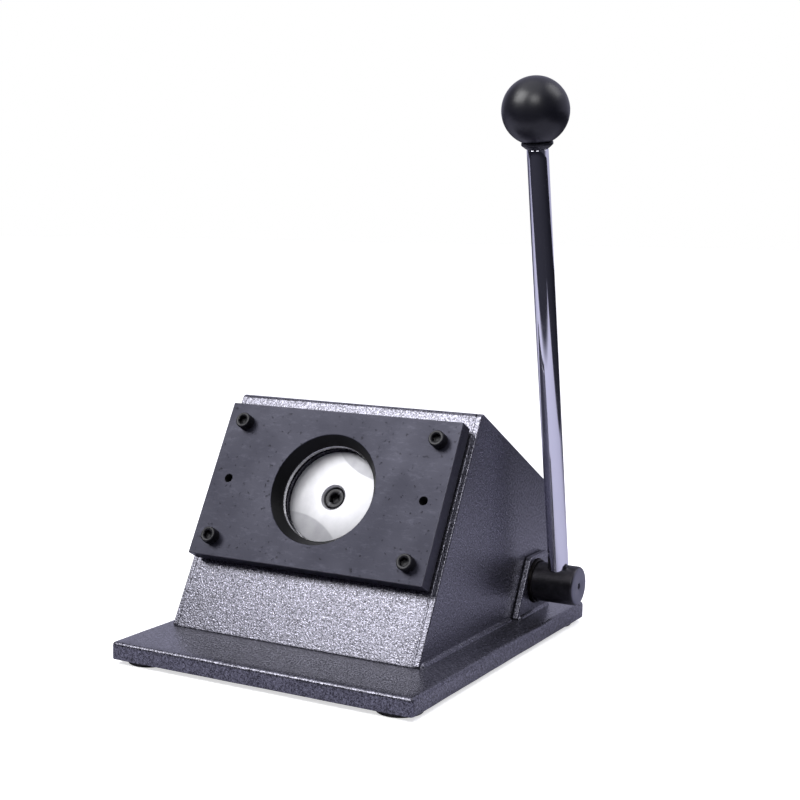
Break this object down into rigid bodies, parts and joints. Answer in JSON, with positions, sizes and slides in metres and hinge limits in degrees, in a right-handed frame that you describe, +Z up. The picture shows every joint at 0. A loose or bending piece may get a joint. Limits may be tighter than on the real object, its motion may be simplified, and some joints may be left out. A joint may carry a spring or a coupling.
{
  "type": "button badge maker",
  "caption": "Desktop hand-lever punch that cuts round paper discs for button badges through a sloping die plate on a steel base.",
  "frame": {"origin": "centre of the object's box on the surface that it stands on", "axes": "+X towards the lever side, +Y towards the back, +Z up; the die plate faces -Y and up"},
  "size_m": [0.2178, 0.24, 0.3451],
  "materials": {
    "hammertone_paint": "silver-grey hammertone enamel, semi-gloss",
    "black_oxide": "black oxide, satin, oiled",
    "ground_steel": "ground bright steel",
    "plain_steel": "machined steel",
    "dark_steel": "dark rolled steel bar, satin",
    "chrome": "bright chrome plate",
    "black_plastic": "moulded phenolic, satin gloss",
    "black_rubber": "matt rubber",
    "bronze": "oiled sintered bronze",
    "spring_steel": "drawn spring wire"
  },
  "bodies": {
    "frame": {"base_plate": "hammertone_paint", "side_plate_left": "hammertone_paint", "side_plate_right": "hammertone_paint", "housing_sheet": "hammertone_paint", "rear_cover": "hammertone_paint", "bearing_bracket": "hammertone_paint", "cover_rail_bottom": "plain_steel", "cover_rail_top": "plain_steel", "bearing_block": "plain_steel", "bush_left": "bronze", "bush_right": "bronze", "guide_block": "plain_steel", "guide_cover": "plain_steel", "die_plate": "black_oxide", "return_spring": "spring_steel", "foot_front_left": "black_rubber", "foot_front_right": "black_rubber", "foot_rear_left": "black_rubber", "foot_rear_right": "black_rubber", "cover_screw_bottom_left": "black_oxide", "cover_screw_bottom_right": "black_oxide", "cover_screw_top_left": "black_oxide", "cover_screw_top_right": "black_oxide", "guide_screw_lower_left": "black_oxide", "die_screw_lower_left": "black_oxide", "slot_spacer_lower_left": "plain_steel", "guide_screw_lower_right": "black_oxide", "die_screw_lower_right": "black_oxide", "slot_spacer_lower_right": "plain_steel", "guide_screw_upper_left": "black_oxide", "die_screw_upper_left": "black_oxide", "slot_spacer_upper_left": "plain_steel", "guide_screw_upper_right": "black_oxide", "die_screw_upper_right": "black_oxide", "slot_spacer_upper_right": "plain_steel"},
    "lever": {"drive_shaft": "dark_steel", "shaft_collar_left": "plain_steel", "shaft_collar_right": "plain_steel", "collar_screw_left": "black_oxide", "collar_screw_right": "black_oxide", "cam": "ground_steel", "cam_key": "plain_steel", "cam_screw": "black_oxide", "lever_rod": "chrome", "knob_collar": "black_plastic", "ball_knob": "black_plastic"},
    "punch_slide": {"punch": "ground_steel", "punch_screw": "black_oxide", "ram": "plain_steel", "roller_pin": "plain_steel", "pin_clip": "plain_steel"},
    "roller": {"roller": "ground_steel"}
  },
  "joints": [
    {"name": "lever_pull", "type": "hinge", "parent": "frame", "child": "lever", "pos_m": [0.0889, 0.0806, 0.0331], "axis": [1, 0, 0], "range_deg": [0, 65]},
    {"name": "punch_stroke", "type": "slide", "parent": "frame", "child": "punch_slide", "axis": [0, -0.8755, 0.4833], "range_m": [0, 0.007], "stiffness_N_per_m": 6000, "springref_m": -0.02, "deforming": ["return_spring"]},
    {"name": "roller_spin", "type": "hinge", "parent": "punch_slide", "child": "roller", "pos_m": [-0.0162, 0.05897, 0.04771], "axis": [1, 0, 0], "continuous": true}
  ],
  "couplings": [
    {"joint": "punch_stroke", "follows": "lever_pull", "m_per_rad": 0.00617}
  ]
}
